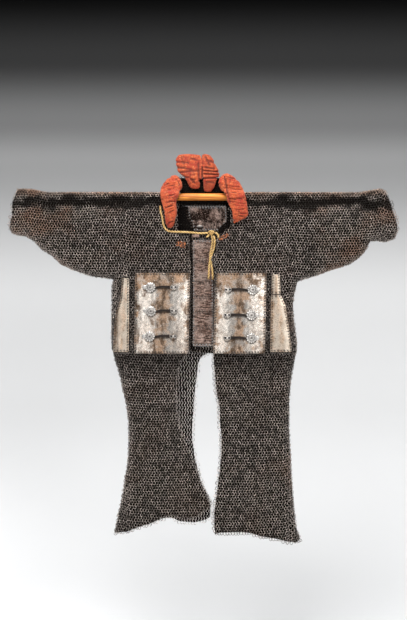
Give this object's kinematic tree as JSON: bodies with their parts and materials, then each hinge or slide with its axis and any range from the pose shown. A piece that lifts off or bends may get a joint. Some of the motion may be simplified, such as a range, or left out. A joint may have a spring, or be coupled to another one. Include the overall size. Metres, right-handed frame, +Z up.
{
  "type": "mail shirt with plates hung on a rod",
  "caption": "Open-fronted mail shirt with iron plates, clasps and a padded collar, hung flat by its sleeves on a wooden rod.",
  "frame": {"origin": "centre of the wooden rod, halfway along it", "axes": "+X to the viewer's right along the rod, +Y from the front of the shirt to its back, +Z up"},
  "size_m": [0.971, 0.062, 0.9748],
  "materials": {
    "mail": "dark worn iron rings with brown patina",
    "plates": "worn bright steel with brown patina",
    "clasps": "worn steel, darker in the recesses",
    "collar": "worn padded orange-red cloth",
    "lace": "pale yellow twisted cord",
    "leather": "dry orange-brown leather",
    "rod": "waxed honey-coloured wood"
  },
  "bodies": {
    "root": {"back_left": "mail", "back_right": "mail", "back_tab": "clasps", "chest_left": "mail", "chest_right": "mail", "clasp_left_1_eye": "clasps", "clasp_left_1_hasp": "clasps", "clasp_left_1_rosette": "clasps", "clasp_left_2_eye": "clasps", "clasp_left_2_hasp": "clasps", "clasp_left_2_rosette": "clasps", "clasp_left_3_eye": "clasps", "clasp_left_3_hasp": "clasps", "clasp_left_3_rosette": "clasps", "clasp_right_1_eye": "clasps", "clasp_right_1_hasp": "clasps", "clasp_right_1_rosette": "clasps", "clasp_right_2_eye": "clasps", "clasp_right_2_hasp": "clasps", "clasp_right_2_rosette": "clasps", "clasp_right_3_eye": "clasps", "clasp_right_3_hasp": "clasps", "clasp_right_3_rosette": "clasps", "collar_lobe_left": "collar", "collar_lobe_right": "collar", "collar_stand_left": "collar", "collar_stand_right": "collar", "flank_left": "mail", "flank_right": "mail", "lace_knot": "lace", "lace_loop": "lace", "lace_run": "lace", "lace_stub": "lace", "lace_tail_long": "lace", "lace_tail_short": "lace", "leather_stub_left": "leather", "leather_stub_right": "leather", "neck_plate": "plates", "neck_stand": "mail", "neck_stud": "clasps", "plate_front_left": "plates", "plate_front_right": "plates", "plate_side_left_lower": "plates", "plate_side_left_upper": "plates", "plate_side_right": "plates", "rod": "rod", "skirt_back_left": "mail", "skirt_back_right": "mail", "skirt_front_left": "mail", "skirt_front_right": "mail", "sleeve_left": "mail", "sleeve_right": "mail", "spine_lame_1": "plates", "spine_lame_2": "plates", "spine_lame_3": "plates", "spine_lame_4": "plates", "spine_lame_5": "plates", "spine_lame_6": "plates", "strip_left": "mail", "strip_right": "mail"}
  },
  "joints": []
}
